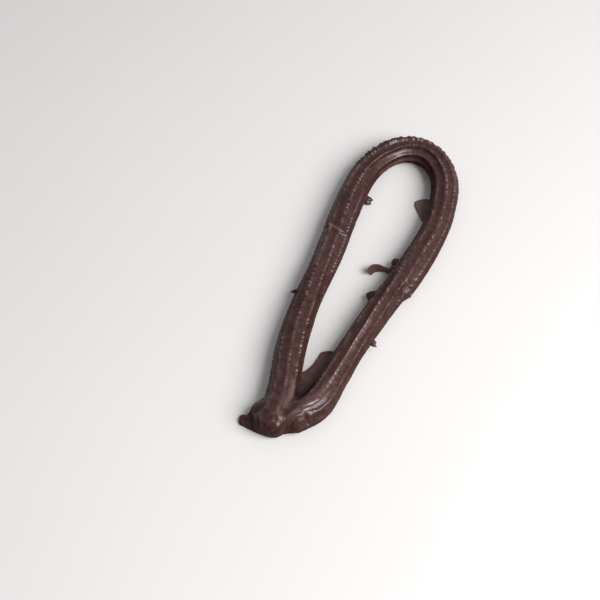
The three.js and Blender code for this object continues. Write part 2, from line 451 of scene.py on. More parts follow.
# Beads on a crest, and where neighbours have run together.
BEAD_RANDOMNESS = 0.9
BEAD_FALL = (0.1, 0.48)  # distance from a bead's middle over which it falls away
BEAD_RANGE, TOOTH_RANGE, MERGE_RANGE = (-0.6, 0.35), (-0.6, 0.4), (0.0, 0.3)
MERGE_MOST, MERGE_FILL = 0.85, 0.65  # merging at the ends, and how full it makes a gap
INNER_LOSS, OUTER_LOSS = 0.85, 0.35  # beads missing on the sides of the loop
OUTER_EDGE = 3  # higher values keep the loss to the very outside
SIDE_TOP, UPPER_TOP = 0.12, 0.88  # a bead's height everywhere, and more on the top
BEAD_DIP, SIDE_DIP, UPPER_DIP = 0.4, 0.3, 0.7  # the gaps between beads are dips
TOOTH_MIDDLE = 0.6  # a tooth rises above the crest from here, and a gap sinks below

LEAST_DOWN = 0.01  # keeps the flat underside's distance finite on the upper half


def strand_tree():
    """Geometry nodes that sweep a ridged, beaded section along a path of points. Each
    point carries along, inward, girth, round, turn, bead, tooth, merge and depth."""
    tree = bpy.data.node_groups.new("Piped strand", "GeometryNodeTree")
    tree.is_modifier = True
    add_socket(tree, "Path", "NodeSocketGeometry")
    for name, kind, _ in STRAND_INPUTS:
        add_socket(tree, name, kind)
    add_socket(tree, "Coat", "NodeSocketMaterial")
    add_socket(tree, "Strand", "NodeSocketGeometry", "OUTPUT")
    source = tree.nodes.new("NodeGroupInput")
    given = {name: Value(tree, source.outputs[name]) for name, _, _ in STRAND_INPUTS}

    def attribute(name, kind="FLOAT"):
        inputs = {"Name": name}
        node = add_node(tree, "GeometryNodeInputNamedAttribute", inputs, data_type=kind)
        return node.outputs[0]

    def number_at(name):
        return Value(tree, attribute(name))

    def stored(geometry, name, value, kind="FLOAT"):
        inputs = {"Geometry": geometry, "Name": name, "Value": value}
        node = add_node(tree, "GeometryNodeStoreNamedAttribute", inputs, data_type=kind)
        return node.outputs[0]

    path = add_node(tree, "GeometryNodeMeshToCurve", {"Mesh": source.outputs["Path"]})
    position = tree.nodes.new("GeometryNodeInputPosition").outputs[0]
    centre = stored(path.outputs["Curve"], "centre", position, "FLOAT_VECTOR")
    around = given["Ridges"] * given["Points per Ridge"]
    ring = add_node(tree, "GeometryNodeCurvePrimitiveCircle", {"Resolution": around})
    index = tree.nodes.new("GeometryNodeInputIndex").outputs[0]
    numbered = stored(ring.outputs["Curve"], "step", index)
    sweep = add_node(
        tree,
        "GeometryNodeCurveToMesh",
        {"Curve": centre, "Profile Curve": numbered, "Fill Caps": True},
    )

    # Place round the section: the ridge's number, and the share across it from its
    # crest with the points gathered towards the crest.
    step = number_at("step") / given["Points per Ridge"]
    number = (step + 0.5).floor()
    offset = step - number
    across = (abs(offset) * 2) ** GATHER
    ridge = number % given["Ridges"]
    along = number_at("along")
    seed = given["Seed"] * SEED_STEP

    def along_noise(length, shift):
        place = vector(tree, along / length, ridge * RIDGE_STEP + shift, seed)
        return noise_value(tree, place)

    wander = along_noise(*WANDER_NOISE) * WANDER
    share = number + offset.sign() * across * 0.5 + wander * (1 - across)
    angle = share * (2 * math.pi / given["Ridges"]) + number_at("turn")
    cosine, sine = angle.cosine(), angle.sine()
    upper = cosine.smooth(*UPPER_SIDE)
    inner = sine.smooth(*INNER_SIDE)
    outer = (-sine).smooth(*OUTER_SIDE)

    # The ridge: a sharp crest on a soft line.
    line = 1 - across.smooth(*LINE_FALL)
    crest = (1 - across) ** given["Crest Sharpness"] * CREST_SHARE + line * LINE_SHARE
    change = 1 + along_noise(*DEPTH_NOISE) * DEPTH_CHANGE
    height = given["Ridge Height"] * number_at("depth") * change

    # The beads on the crest.
    cell = add_node(
        tree,
        "ShaderNodeTexVoronoi",
        {"W": along / given["Bead Spacing"] + ridge * BEAD_STEP + seed, "Scale": 1.0,
         "Randomness": BEAD_RANDOMNESS},
        voronoi_dimensions="1D",
    )
    apart = 1 - Value(tree, cell.outputs["Distance"]).smooth(*BEAD_FALL)
    at_ends = number_at("merge") * MERGE_MOST
    merged = along_noise(*MERGE_NOISE).smooth(*MERGE_RANGE).at_least(at_ends)
    bead = apart + (1 - apart) * merged * MERGE_FILL
    kept = 1 - inner * number_at("tooth") * INNER_LOSS - outer**OUTER_EDGE * OUTER_LOSS
    bead_size = along_noise(*BEAD_NOISE).smooth(*BEAD_RANGE) * number_at("bead") * kept
    knob = 1 - across.smooth(*KNOB_FALL)
    bead_top = bead_size * (SIDE_TOP + upper * UPPER_TOP) * bead * knob
    dip = BEAD_DIP * bead_size * knob * (SIDE_DIP + upper * UPPER_DIP)
    beads = given["Bead Height"] * (bead_top - dip)

    # The teeth on the outer crests.
    tooth_size = along_noise(*TOOTH_NOISE).smooth(*TOOTH_RANGE)
    teeth = (
        given["Tooth Height"] * number_at("tooth") * tooth_size * outer
        * (apart - TOOTH_MIDDLE) * (1 - across.smooth(*TOOTH_FALL))
    )

    def skin_noise(length, turns, shift, detail):
        place = vector(tree, along / length, angle * turns, seed + shift)
        return noise_value(tree, place, detail=detail)

    striae = skin_noise(*STRIAE_NOISE) * (STRIAE_ALL + outer * STRIAE_OUTER)
    uneven = (
        skin_noise(*LUMP_NOISE) + skin_noise(*FOLD_NOISE) * FOLD_SHARE
        + striae * STRIAE_SHARE
    )

    # The underside is flat where the strand rests.
    radius = number_at("round") * (
        number_at("girth") - height * (1 - crest) + beads + teeth
        + given["Unevenness"] * uneven
    )
    radius = radius.at_most(given["Axis Height"] / (-cosine).at_least(LEAST_DOWN))

    sideways = scaled(tree, attribute("inward", "FLOAT_VECTOR"), radius * sine)
    from_centre = vector_sum(tree, sideways, vector(tree, z=radius * cosine))
    final = vector_sum(tree, attribute("centre", "FLOAT_VECTOR"), from_centre)
    shaped = add_node(
        tree,
        "GeometryNodeSetPosition",
        {"Geometry": sweep.outputs[0], "Position": final},
    )
    # The material paints the bead tops lighter, partly for their thin coat and partly as
    # painted highlights.
    marked = stored(shaped.outputs[0], "bead_top", bead_top)
    real = add_node(tree, "GeometryNodeRealizeInstances", {"Geometry": marked})
    coated = add_node(
        tree,
        "GeometryNodeSetMaterial",
        {"Geometry": real.outputs[0], "Material": source.outputs["Coat"]},
    )
    sink = tree.nodes.new("NodeGroupOutput")
    tree.links.new(coated.outputs[0], sink.inputs[0])
    return tree


def path_mesh(path):
    """The middle line as a mesh of points and edges that carry the strand's sizes."""
    mesh = bpy.data.meshes.new("path")
    joints = [(i, i + 1) for i in range(len(path.along) - 1)]
    mesh.from_pydata([tuple(p) for p in path.point * MM], joints, [])
    bend = smoothstep(path.point[:, 0], *BEND_RANGE)
    left = 1 - smoothstep(path.along, *MERGED_LEFT)
    right = smoothstep(path.along, *(path.length - reach for reach in MERGED_RIGHT))
    for name, values in (
        ("along", path.along * MM),
        ("girth", path.girth * MM),
        ("round", path.round),
        ("turn", path.turn),
        ("bead", BEADS_ALONG[0] + BEADS_ALONG[1] * bend),
        ("tooth", TEETH_ALONG[0] + TEETH_ALONG[1] * bend),
        ("merge", left + right),
        ("depth", DEPTH_ALONG[0] + DEPTH_ALONG[1] * bend),
    ):
        store(mesh, name, values)
    layer = mesh.attributes.new("inward", "FLOAT_VECTOR", "POINT")
    layer.data.foreach_set("vector", path.inward.astype(np.float32).ravel())
    return mesh


def strand_mesh(settings, path, coat):
    """The strand as a closed mesh, swept by geometry nodes along the path."""
    helper = new_piece("path_helper", path_mesh(path))
    modifier = helper.modifiers.new("Strand", "NODES")
    modifier.node_group = strand_tree()
    items = modifier.node_group.interface.items_tree
    sockets = {item.name: item.identifier for item in items}
    for name, _, field in STRAND_INPUTS:
        modifier[sockets[name]] = getattr(settings, field)
    modifier[sockets["Coat"]] = coat
    swept = baked(helper, "strand")
    helper.modifiers.remove(modifier)
    drop(helper)
    return swept


# --------------------------------------------------------- pressed ends, pools and film

POOL = ((-70, 12), (-76.4, 16.4), (-82, 17.6), (-86.5, 17.6), (-90, 16.4), (-90.6, 12),
        (-90.6, 7.5), (-89, 3.2), (-86.4, 0), (-81.5, -6.5), (-72, -9), (-66, 2))
FILM = ((-56, 10), (-54, 5.6), (-49.5, 3), (-44, 1.9), (-40.5, 1.6), (-37.6, -2.6),
        (-37, -10.5), (-60, -10), (-72, 0), (-68, 8.5))
FLAP = ((60.5, -5.8), (55.5, -9.5), (50.5, -14), (52, -20), (62, -18), (65, -11))

# Patches of set chocolate: corners, the setting with its height, width of its rim.
PATCHES = (
    (POOL, "pool_height", 0.6),
    (FILM, "film_height", 0.6),
    (FLAP, "flap_height", 0.7),
)
UPRIGHT = 0.25  # share of a patch's height below the rounding of its rim
RIM_ANGLES = (25, 50, 75)  # steps of the rounding, in degrees

# Lumps of the pressed ends: centre x, y, z and three widths.
LUMPS = (
    (-78.5, 0.2, 5.6, 17, 10, 11.8),
    (-82.3, 8.6, 2.6, 16.4, 17.4, 17),
    (-85.5, 6.5, 3.5, 11, 15, 13),
    (-88, 17.6, 1, 4.4, 5, 3.4),
    (-86.6, 18.6, 1, 4.4, 4, 3),
)
BALL_DETAIL = 4  # subdivisions of the balls that lumps and nibs are made from

MELT_CELL = 0.4  # cell size of the mesh that runs patches and lumps together
SOFTEN, SOFTEN_PASSES = 0.5, 6
ENDS_LUMPS = (0.22, 3.2, 1.0)  # height and grain of the melted skin, and its seed


def add_patch(form, corners, height, rim):
    """Adds a flat-bottomed patch of set chocolate with a rounded rim to a bmesh."""
    ring = outline_points(corners)
    count = len(ring)
    following = np.roll(ring, -1, axis=0)
    tangent = following - np.roll(ring, 1, axis=0)
    tangent /= np.linalg.norm(tangent, axis=1)[:, None]
    area = np.sum(ring[:, 0] * following[:, 1] - ring[:, 1] * following[:, 0])
    inside = np.column_stack([-tangent[:, 1], tangent[:, 0]]) * np.sign(area)
    levels = [(0.0, 0.0), (0.0, UPRIGHT)] + [
        (1 - math.cos(a), UPRIGHT + (1 - UPRIGHT) * math.sin(a))
        for a in np.radians(RIM_ANGLES)
    ]
    loops = []
    for inset, rise in levels:
        flat = ring + inside * inset * rim
        loops.append([form.verts.new((x, y, rise * height)) for x, y in flat])
    for low, high in zip(loops, loops[1:]):
        for i in range(count):
            j = (i + 1) % count
            form.faces.new((low[i], low[j], high[j], high[i]))
    for loop, z in ((loops[0], 0.0), (loops[-1], height)):
        hub = form.verts.new((*ring.mean(axis=0), z))
        for i in range(count):
            form.faces.new((loop[i], loop[(i + 1) % count], hub))


def placed(x, y, z):
    """The move to a place that is given from the stations' origin."""
    return Matrix.Translation((x - PLAN_CENTRE[0], y - PLAN_CENTRE[1], z))


def add_lump(form, x, y, z, *widths):
    """Adds a rounded lump to a bmesh."""
    stretch = Matrix.Diagonal((*[w / 2 for w in widths], 1))
    bmesh.ops.create_icosphere(
        form, subdivisions=BALL_DETAIL, radius=1, matrix=placed(x, y, z) @ stretch
    )


def pressed_ends_mesh(settings):
    """Pool, film, flap and lumps run into one smooth mass of chocolate."""
    form = bmesh.new()
    for corners, field, rim in PATCHES:
        add_patch(form, corners, getattr(settings, field) / MM, rim)
    for lump in LUMPS:
        add_lump(form, *lump)
    bmesh.ops.recalc_face_normals(form, faces=form.faces)
    helper = new_piece("ends_helper", mesh_of(form, "ends"))
    melt = helper.modifiers.new("Melt", "REMESH")
    melt.mode = "VOXEL"
    melt.voxel_size = MELT_CELL
    soft = helper.modifiers.new("Soften", "SMOOTH")
    soft.factor = SOFTEN
    soft.iterations = SOFTEN_PASSES
    melted = baked(helper, "ends")
    drop(helper)
    make_lumpy(melted, *ENDS_LUMPS)
    return melted


# ------------------------------------------------------------------- the finished loop

# The coat spreads a little where it rests: how far, and up to what height.
SPREAD, SPREAD_TOP = 0.3, 1.1
LEAST_REACH = 1.0  # nearer to the middle line than this, nothing spreads

# Places where chocolate has filled the creases: middle and half sizes in plan.
FILLED = (((-79.5, 0.5), (13, 8)), ((-84.5, 10.5), (8, 10)))
FILLED_FALL = (0.6, 1.15)  # share of the half sizes over which the filling ends
FILL_PASSES = 50
CREST_WEAR = 0.25  # how fast a crest sinks, as a share of how fast a crease fills

# Small marks of the coat: a line in plan, half width and height. Where the height is
# negative, the mark is a crack.
MARKS = (
    (((20.8, 23.9), (20, 21.2), (19.3, 18.4), (19.8, 16)), 0.8, 1.2),
    (((18.9, 22.8), (18.4, 21.2), (17.7, 18.4)), 0.5, -0.5),
    (((-1, -21.8), (-1.4, -23.4), (-1.5, -25.4)), 0.7, -0.35),
    (((58.6, -6.9), (51.3, -13.2)), 0.5, 0.5),
    (((-62.4, -8.2), (-66.7, -7.7), (-70.6, -6.1), (-72, -3.6)), 0.5, 0.5),
    (((-64, -11.2), (-69, -9.9), (-73.4, -7), (-76, -4.3)), 0.5, 0.5),
    (((-61.2, -12.4), (-69, -11.4), (-74.4, -8.2), (-77.6, -5.2)), 0.5, 0.45),
    (((-75.5, -9.5), (-79, -6), (-81.4, -3.6)), 0.6, 0.5),
    (((-79.1, -6.5), (-79.5, -7.8), (-80.6, -9.2)), 0.6, -0.9),
    (((-86.3, 4.8), (-86.6, 4.8)), 0.8, 0.7),
    (((-88, 4), (-88.2, 4.2)), 0.8, 0.7),
    (((-84.1, 2.1), (-84.3, 1.9)), 0.8, 0.5),
    (((-84.6, -3), (-82.2, -5), (-79.9, -7.6)), 0.5, -0.6),
    (((-78.2, 9.4), (-78.3, 9.2)), 0.8, 0.6),
)
MARKED_FACES = (0.0, 0.3)  # how far up a face looks before a mark shows on it

# Beyond these in x, y and z, points are drawn back by a share of what they stand out,
# so that the coat's relief doesn't add to the loop's size.
CALM = (92.6, 28.4, 12.2)
CALM_PULL = 0.45

# Places where the coat set with more gloss and is painted lighter as a sheen: a line in
# plan, half width and strength. Where the strength is negative, the place is duller and
# painted darker as shade.
GLOSS_AND_SHEEN_STROKES = (
    (((66, 14.8), (72.5, 12.4), (77.6, 9.6)), 1.8, 1.0),
    (((77.6, 9.6), (81.8, 5.1), (83.2, -1), (81, -7)), 1.8, 0.4),
    (((20.8, 23.9), (20, 21.2), (19.3, 18.4)), 0.9, 1.0),
    (((-79, 1.7), (-73.4, 2.8), (-65.4, 4.3)), 1.1, 1.0),
    (((-22, -13.7), (-33, -12.5), (-41, -11.6), (-51, -10.8), (-59.5, -10.1)), 0.8, 0.9),
    (((-82.8, -1.4), (-80.2, -3.6), (-77.8, -6.3)), 1.4, 0.7),
    (((-84.9, 5.6), (-84.6, 5.3)), 0.8, 0.8),
    (((-83.7, 2.9), (-83.5, 2.8)), 0.8, 0.8),
    (((-47.7, 8.8), (-47.3, 8.9)), 0.8, 0.8),
    (((-57.1, 6.6), (-56.6, 6.7)), 0.9, 0.8),
    (((-60, -10), (-66, -8.8), (-71, -6.6), (-75, -4.2)), 2.2, 0.7),
    (((58.8, -6.8), (51.2, -13.3)), 0.7, 1.0),
    (((1.2, -20.6), (3.6, -23.4)), 1.6, -0.5),
)
SHEEN_FACES = (0.2, 0.6)  # how far up a face looks before it gets the gloss and the painted sheen

# Where the chocolate is a thin film or flap, in plan, and up to what height. There it is
# painted lighter, partly for the thin chocolate and partly as painted light in place of the
# light that the limbs shade off.
FILM_START, FILM_STOP = (-66, -60), (-42, -38)  # ranges of x in which the film fades
FILM_MIDDLE, FILM_HALF = 1, 7  # middle and half width in y
FLAP_MIDDLE, FLAP_HALF = (56, -11), (8, 7)
FLAP_PAINTED_LIGHT = 2  # how much more strongly the flap is painted lighter than the film, as painted light where the right limb shades it
THIN_TOP = (1.6, 2.6)

CREST_BULGE = (0.0, 0.06)  # how far a crest stands above its neighbours
CREST_BLURS = 2
WALL_FACES = (0.35, 0.85)  # a face that looks up less than this is part of a wall, which is duller and painted a touch darker as shade


def fused(first, second, name):
    """Both closed meshes as one."""
    a, b = new_piece("a_helper", first), new_piece("b_helper", second)
    join = a.modifiers.new("Fuse", "BOOLEAN")
    join.operation = "UNION"
    join.solver = "MANIFOLD"
    join.object = b
    mesh = baked(a, name)
    drop(a, b)
    return mesh


def in_plan(points):
    """Places of points in plan, from the stations' origin."""
    return points[:, :2] + PLAN_CENTRE


def distance_to_line(plan, line):
    """Distance in plan of each point from a bent line."""
    line = np.array(line)
    nearest = np.full(len(plan), np.inf)
    for start, stop in zip(line, line[1:]):
        run = stop - start
        share = np.clip((plan - start) @ run / (run @ run), 0, 1)
        away = np.linalg.norm(plan - start - share[:, None] * run, axis=1)
        nearest = np.minimum(nearest, away)
    return nearest


def strokes(plan, table):
    """The height or strength that each stroke of a table has at each point."""
    for line, width, size in table:
        yield size * np.exp(-((distance_to_line(plan, line) / width) ** 2))


def spread_base(points, path):
    """Spreads the chocolate round the base a little on the resting surface."""
    out = points[:, :2] - path.nearest(points)[:, :2]
    reach = np.linalg.norm(out, axis=1)
    low = 1 - smoothstep(points[:, 2], 0.0, SPREAD_TOP)
    spread = SPREAD * low * (reach > LEAST_REACH)
    points[:, :2] += out / np.maximum(reach, LEAST_REACH)[:, None] * spread[:, None]
    lift(points)


def fill_creases(mesh, points, plan, pairs):
    """Fills the creases at the pressed ends with chocolate."""
    melt = np.zeros(len(points))
    for middle, half in FILLED:
        near = np.linalg.norm((plan - middle) / np.array(half), axis=1)
        melt = np.maximum(melt, 1 - smoothstep(near, *FILLED_FALL))
    for _ in range(FILL_PASSES):
        facing = normals(mesh)
        gap = np.sum((neighbour_mean(points, pairs) - points) * facing, axis=1)
        points += facing * (melt * np.maximum(gap, CREST_WEAR * gap))[:, None]
        lift(points)
        set_vertices(mesh, points * MM)


def add_marks(mesh, points, plan):
    """Adds the small marks of the coat."""
    facing = normals(mesh)
    upright = smoothstep(facing[:, 2], *MARKED_FACES)
    for relief in strokes(plan, MARKS):
        points += facing * (relief * upright)[:, None]
    beyond = np.maximum(np.abs(points) - CALM, 0)
    points -= np.sign(points) * CALM_PULL * beyond
    set_vertices(mesh, points * MM)


def store_masks(mesh, points, pairs):
    """Stores the masks that the coat's material reads."""
    facing = normals(mesh)
    bulge = np.sum((points - neighbour_mean(points, pairs)) * facing, axis=1)[:, None]
    for _ in range(CREST_BLURS):
        bulge = 0.5 * bulge + 0.5 * neighbour_mean(bulge, pairs)
    # Crests are painted lighter, partly for their thinner coat and partly as painted
    # highlight.
    store(mesh, "crest", smoothstep(bulge[:, 0], *CREST_BULGE))
    plan = in_plan(points)
    x, y = plan.T
    film_and_painted_light = (
        smoothstep(x, *FILM_START) * (1 - smoothstep(x, *FILM_STOP))
        * (np.abs(y - FILM_MIDDLE) < FILM_HALF)
    )
    flap = np.all(np.abs(plan - FLAP_MIDDLE) < FLAP_HALF, axis=1)
    low = 1 - smoothstep(points[:, 2], *THIN_TOP)
    # The film and, more strongly, the flap are painted lighter, partly for their thin
    # chocolate and partly as painted light in place of the light that the limbs shade off
    # them.
    store(mesh, "film_and_painted_light", (film_and_painted_light + FLAP_PAINTED_LIGHT * flap) * low)
    # Steep faces are duller and painted a touch darker as shade.
    store(mesh, "wall", 1 - smoothstep(facing[:, 2], *WALL_FACES))
    # The gloss strokes add real gloss through the coat and paint the surface lighter as a
    # sheen. Negative strokes are duller and painted darker as shade.
    gloss_and_painted_sheen = sum(strokes(plan, GLOSS_AND_SHEEN_STROKES))
    store(mesh, "gloss_and_painted_sheen", np.minimum(gloss_and_painted_sheen, 1) * smoothstep(facing[:, 2], *SHEEN_FACES))


def finish_loop(mesh, path):
    """Gives the fused loop its small hand-made marks and the masks its coat reads."""
    points = vertices(mesh) / MM
    pairs = edges(mesh)
    spread_base(points, path)
    set_vertices(mesh, points * MM)
    plan = in_plan(points)
    fill_creases(mesh, points, plan, pairs)
    add_marks(mesh, points, plan)
    store_masks(mesh, points, pairs)


# ---------------------------------------------------------------------- curl and nibs

# The curl stands on its foot line and leans over to its rim line, both in plan.
CURL_FOOT = ((14.6, -13), (14.8, -9.2), (14.4, -6.8), (12.4, -3.7), (10.1, -2.8))
CURL_RIM = ((14.2, -13), (13.8, -9.4), (13.9, -7), (14.1, -4.3), (12.5, -1.4), (8.8, -0.6))
CURL_THINS, CURL_DROPS = 0.5, 0.2  # share of thickness and height lost at the free end
CURL_RINGS, CURL_SIDES = 61, 20
CURL_SQUARE = (0.7, 0.25)  # below 1, the section is squarer across and upwards

# Nibs: x, y, z, heading in degrees, length, width, height.
NIBS = (
    (-3.8, -8.8, 3.6, 84, 6.8, 6.6, 4.6),
    (-17.2, 24.6, 5, 125, 4.6, 1.9, 2),
    (-29.4, -18.5, 5.3, -106, 5.4, 2, 1.8),
    (-28.1, -18.4, 5.2, -98, 3.4, 2.4, 1.6),
    (51.4, 15.2, 1.6, -78, 4.6, 2.8, 2.8),
    (49.6, 15.2, 1.5, -98, 4.6, 2.6, 2.6),
    (15.2, -12.6, 3.4, 75, 6, 5, 6),
    (3.9, -23.7, 4.4, -148, 3.2, 3.0, 4.2),
)
BLOB = (18.7, -11.7, 4, 4.8, 5, 4.6)  # beside the curl: centre and three widths
TAPER, TAPER_BACK = 0.35, -0.5  # how far a nib tapers, and where the taper starts
NIB_LUMPS = (0.2, 1.6, 4.0)  # height and grain of the nibs' skin, and its seed


def powered(value, power):
    return np.sign(value) * abs(value) ** power


def curl_mesh(settings):
    """A thin ribbon of chocolate between its foot line and its rim line."""
    share = np.linspace(0, 1, CURL_RINGS)
    foot = centripetal(np.array(CURL_FOOT) - np.array(PLAN_CENTRE), share)
    rim = centripetal(np.array(CURL_RIM) - np.array(PLAN_CENTRE), share)
    ahead = np.gradient(foot + rim, axis=0)
    ahead /= np.linalg.norm(ahead, axis=1)[:, None]
    across = np.column_stack([-ahead[:, 1], ahead[:, 0]])
    form = bmesh.new()
    rings = []
    for k, t in enumerate(share):
        half = settings.thickness / MM / 2 * (1 - CURL_THINS * t)
        tall = settings.height / MM * (1 - CURL_DROPS * t**2)
        ring = []
        for a in np.linspace(0, 2 * math.pi, CURL_SIDES, endpoint=False):
            side = powered(math.cos(a), CURL_SQUARE[0])
            rise = (powered(math.sin(a), CURL_SQUARE[1]) + 1) / 2
            x, y = foot[k] * (1 - rise) + rim[k] * rise + across[k] * half * side
            ring.append(form.verts.new((x, y, rise * tall)))
        rings.append(ring)
    for low, high in zip(rings, rings[1:]):
        for i in range(CURL_SIDES):
            j = (i + 1) % CURL_SIDES
            form.faces.new((low[i], low[j], high[j], high[i]))
    form.faces.new(rings[0])
    form.faces.new(rings[-1])
    bmesh.ops.recalc_face_normals(form, faces=form.faces)
    mesh = mesh_of(form, "chocolate_curl")
    set_vertices(mesh, vertices(mesh) * MM)
    return mesh


def nibs_mesh():
    """Short tapering nibs of chocolate and the blob beside the curl."""
    form = bmesh.new()
    add_lump(form, *BLOB)
    for x, y, z, heading, *widths in NIBS:
        place = (
            placed(x, y, z)
            @ Matrix.Rotation(math.radians(heading), 4, "Z")
            @ Matrix.Diagonal((*[w / 2 for w in widths], 1))
        )
        made = bmesh.ops.create_icosphere(form, subdivisions=BALL_DETAIL, radius=1)
        for v in made["verts"]:
            taper = 1 - TAPER * max(v.co.x, TAPER_BACK)
            v.co = place @ Vector((v.co.x, v.co.y * taper, v.co.z * taper))
    mesh = mesh_of(form, "chocolate_nibs")
    make_lumpy(mesh, *NIB_LUMPS)
    return mesh


# --------------------------------------------------------------------------- materials

LOOK = "Set chocolate"

# Noises of the coat: scale, detail and roughness.
COAT_NOISES = {
    "broad": (70, 3.0, 0.5),
    "patches": (380, 2.0, 0.5),
    "fine": (1100, 3.0, 0.6),
}
COAT_MASKS = ("crest", "bead_top", "film_and_painted_light", "gloss_and_painted_sheen", "wall")

# What each mask and noise adds to the share of thin chocolate, to the roughness, to the
# coat's weight and to the relief. The lighter thin colour is partly thin coat and partly
# painted highlight on the crests, the bead tops and the gloss strokes. It is partly painted
# light on the film and the flap. Taken away on the walls, it is painted shade.
THIN_MIX = (("crest", 0.15), ("bead_top", 0.75), ("film_and_painted_light", 0.5), ("gloss_and_painted_sheen", 0.4),
            ("wall", -0.02), ("broad", 0.15), ("patches", 0.25), ("fine", 0.2))
ROUGH_MIX = (("broad", 0.05), ("patches", 0.15), ("fine", 0.1), ("bead_top", -0.2),
             ("wall", 0.4))
COAT_MIX = (("bead_top", 0.6), ("gloss_and_painted_sheen", 0.8), ("patches", 0.2))
HEIGHT_MIX = (("patches", 1), ("fine", 0.3))
COAT_EVERYWHERE = 0.72
COAT_WALL_LOSS = 0.85

COAT_ROUGHNESS = 0.28
RELIEF_DEPTH, RELIEF_STRENGTH = 0.00025, 0.8
FLOOR_MOTTLE = (7, 3.0)  # scale and detail
FLOOR_MOTTLE_SHARE = 0.02


def chocolate_look():
    """The shader node group with the colour, gloss and relief of set chocolate, and the
    painted highlights, painted light and painted shade that its masks lay into the colour.
    """
    tree = bpy.data.node_groups.new(LOOK, "ShaderNodeTree")
    for name, kind in (("Thick", "NodeSocketColor"), ("Thin", "NodeSocketColor"),
                       ("Thin Share", "NodeSocketFloat"), ("Roughness", "NodeSocketFloat")):
        add_socket(tree, name, kind)
    for name, kind in (("Base Color", "NodeSocketColor"), ("Roughness", "NodeSocketFloat"),
                       ("Coat Weight", "NodeSocketFloat"), ("Height", "NodeSocketFloat")):
        add_socket(tree, name, kind, "OUTPUT")
    source = tree.nodes.new("NodeGroupInput")
    sink = tree.nodes.new("NodeGroupOutput")

    place = tree.nodes.new("ShaderNodeTexCoord").outputs["Object"]
    parts = {name: noise_value(tree, place, *kind) for name, kind in COAT_NOISES.items()}
    for name in COAT_MASKS:
        node = add_node(tree, "ShaderNodeAttribute", attribute_name=name)
        parts[name] = Value(tree, node.outputs["Fac"])

    def mixed(weights, total=None):
        for name, weight in weights:
            term = parts[name] * weight
            total = term if total is None else total + term
        return total

    thin = mixed(THIN_MIX) + Value(tree, source.outputs["Thin Share"])
    colour = add_node(
        tree, "ShaderNodeMix",
        {"Factor": thin.at_most(1.0).at_least(0.0), "A": source.outputs["Thick"],
         "B": source.outputs["Thin"]},
        data_type="RGBA", blend_type="MIX",
    )
    coat = (mixed(COAT_MIX) + COAT_EVERYWHERE) * (1 - parts["wall"] * COAT_WALL_LOSS)
    for name, value in (
        ("Base Color", colour.outputs["Result"]),
        ("Roughness", mixed(ROUGH_MIX, Value(tree, source.outputs["Roughness"]))),
        ("Coat Weight", coat),
        ("Height", mixed(HEIGHT_MIX)),
    ):
        connect(tree, value, sink.inputs[name])
    return tree


def chocolate_material(name, settings, thin_share):
    """Set dark chocolate: satin, slightly uneven in gloss, lighter where it is thin. Where
    its masks say, it is painted lighter as highlights and light, and a touch darker as
    shade on steep sides.
    """
    material = bpy.data.materials.new(name)
    material.use_nodes = True
    tree = material.node_tree
    shader = tree.nodes["Principled BSDF"]
    group = add_node(
        tree, "ShaderNodeGroup",
        {"Thick": (*settings.dark, 1), "Thin": (*settings.thin, 1),
         "Thin Share": thin_share, "Roughness": settings.roughness},
        node_tree=bpy.data.node_groups.get(LOOK) or chocolate_look(),
    )
    for socket in ("Base Color", "Roughness", "Coat Weight"):
        tree.links.new(group.outputs[socket], shader.inputs[socket])
    bump = add_node(
        tree, "ShaderNodeBump",
        {"Height": group.outputs["Height"], "Distance": RELIEF_DEPTH,
         "Strength": RELIEF_STRENGTH},
    )
    tree.links.new(bump.outputs[0], shader.inputs["Normal"])
    shader.inputs["Specular IOR Level"].default_value = 0.0
    shader.inputs["Coat Roughness"].default_value = COAT_ROUGHNESS
    return material


def floor_material(settings):
    """A pale matt surface with faint mottling."""
    material = bpy.data.materials.new("pale floor")
    material.use_nodes = True
    tree = material.node_tree
    shader = tree.nodes["Principled BSDF"]
    place = tree.nodes.new("ShaderNodeTexCoord").outputs["Object"]
    mottle = noise_value(tree, place, *FLOOR_MOTTLE) * FLOOR_MOTTLE_SHARE + 1
    tint = scaled(tree, tuple(settings.floor), mottle)
    tree.links.new(tint, shader.inputs["Base Color"])
    shader.inputs["Roughness"].default_value = settings.floor_roughness
    return material


# ------------------------------------------------------------------- camera and light

# The camera: its place, its own axes and its lens.
CAMERA_PLACE = (-0.35482, -0.10092, 0.5015)
CAMERA_RIGHT = (0.39912, -0.91584, 0.04335)
CAMERA_UP = (0.73736, 0.34872, 0.57850)
CAMERA_BACK = (-0.54492, -0.19893, 0.81453)
CAMERA_LENS, CAMERA_SENSOR = 79.54, 36.0

FLOOR_HALF = 3.0
KEY_PLACE, KEY_SIZE = (-0.1, -0.69, 0.715), 0.8
SKY_COLOUR = (1.0, 0.99, 0.99, 1)
SKY_LEAN = (0.15, -0.35, 0.45)  # towards the brighter side of the light all round


def add_camera():
    data = bpy.data.cameras.new("camera")
    data.lens, data.sensor_width = CAMERA_LENS, CAMERA_SENSOR
    camera = link(bpy.data.objects.new("camera", data))
    turn = Matrix((CAMERA_RIGHT, CAMERA_UP, CAMERA_BACK)).transposed().to_4x4()
    camera.matrix_world = Matrix.Translation(CAMERA_PLACE) @ turn
    bpy.context.scene.camera = camera


def add_floor(settings):
    mesh = bpy.data.meshes.new("floor")
    half = FLOOR_HALF
    corners = [(-half, -half, 0), (half, -half, 0), (half, half, 0), (-half, half, 0)]
    mesh.from_pydata(corners, [], [(0, 1, 2, 3)])
    mesh.materials.append(floor_material(settings))
    new_piece("floor", mesh)


